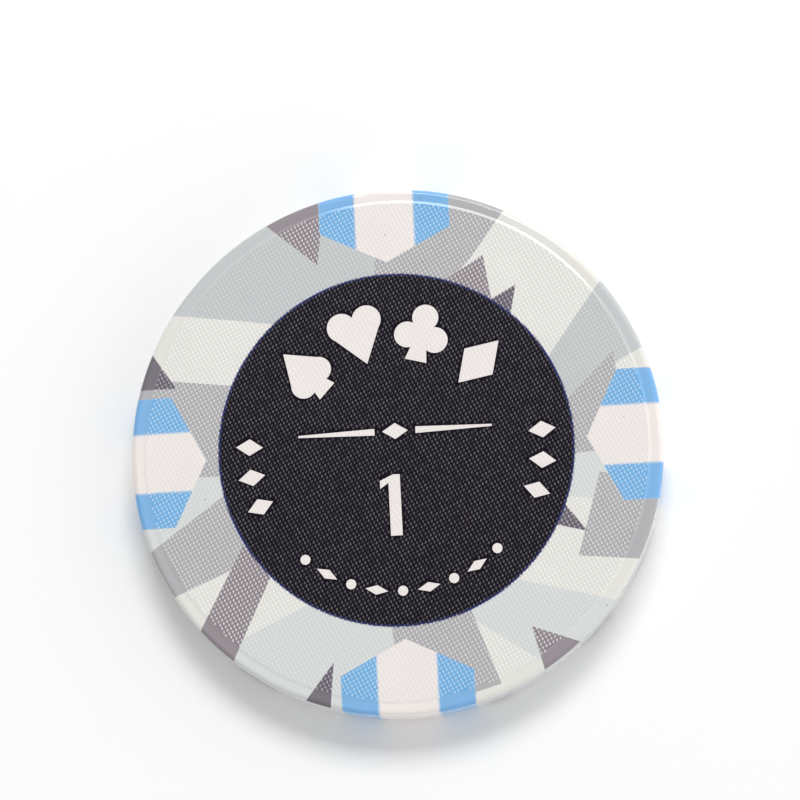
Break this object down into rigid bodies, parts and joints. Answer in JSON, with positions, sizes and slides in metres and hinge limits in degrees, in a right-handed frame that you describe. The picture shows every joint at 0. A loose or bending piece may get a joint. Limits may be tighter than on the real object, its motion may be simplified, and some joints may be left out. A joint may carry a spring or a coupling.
{
  "type": "poker chip",
  "caption": "Round flat poker chip of moulded resin, with a fine dotted face, a smooth rim a little lower, striped edge spots and a dark centre disc, for betting and stacking.",
  "frame": {"origin": "centre of the chip on the plane that its back face rests on", "axes": "+Z out of the front face, +Y up on the front print, +X to its right"},
  "size_m": [0.039, 0.039, 0.0033],
  "materials": {
    "resin": "plain undyed resin",
    "grey_print": "satin dyed resin",
    "white_print": "satin dyed resin",
    "blue_print": "satin dyed resin",
    "black_print": "satin dyed resin",
    "pale_print": "satin dyed resin",
    "light_print": "satin dyed resin",
    "mid_print": "satin dyed resin",
    "dark_print": "satin dyed resin",
    "deep_print": "satin dyed resin"
  },
  "bodies": {
    "root": {"core_blank": "resin", "edge_band": "grey_print", "white_bar_top": "white_print", "white_bar_left": "white_print", "white_bar_bottom": "white_print", "white_bar_right": "white_print", "blue_bars_top": "blue_print", "blue_bars_left": "blue_print", "blue_bars_bottom": "blue_print", "blue_bars_right": "blue_print", "front_disc": "black_print", "front_numeral": "white_print", "front_spade": "white_print", "front_heart": "white_print", "front_club": "white_print", "front_diamond": "white_print", "front_divider": "white_print", "front_side_lozenges": "white_print", "front_beads": "white_print", "front_field_pale": "pale_print", "front_field_light": "light_print", "front_field_mid": "mid_print", "front_field_dark": "dark_print", "front_field_deep": "deep_print", "back_disc": "black_print", "back_numeral": "white_print", "back_spade": "white_print", "back_heart": "white_print", "back_club": "white_print", "back_diamond": "white_print", "back_divider": "white_print", "back_side_lozenges": "white_print", "back_beads": "white_print", "back_field_pale": "pale_print", "back_field_light": "light_print", "back_field_mid": "mid_print", "back_field_dark": "dark_print", "back_field_deep": "deep_print"}
  },
  "joints": []
}
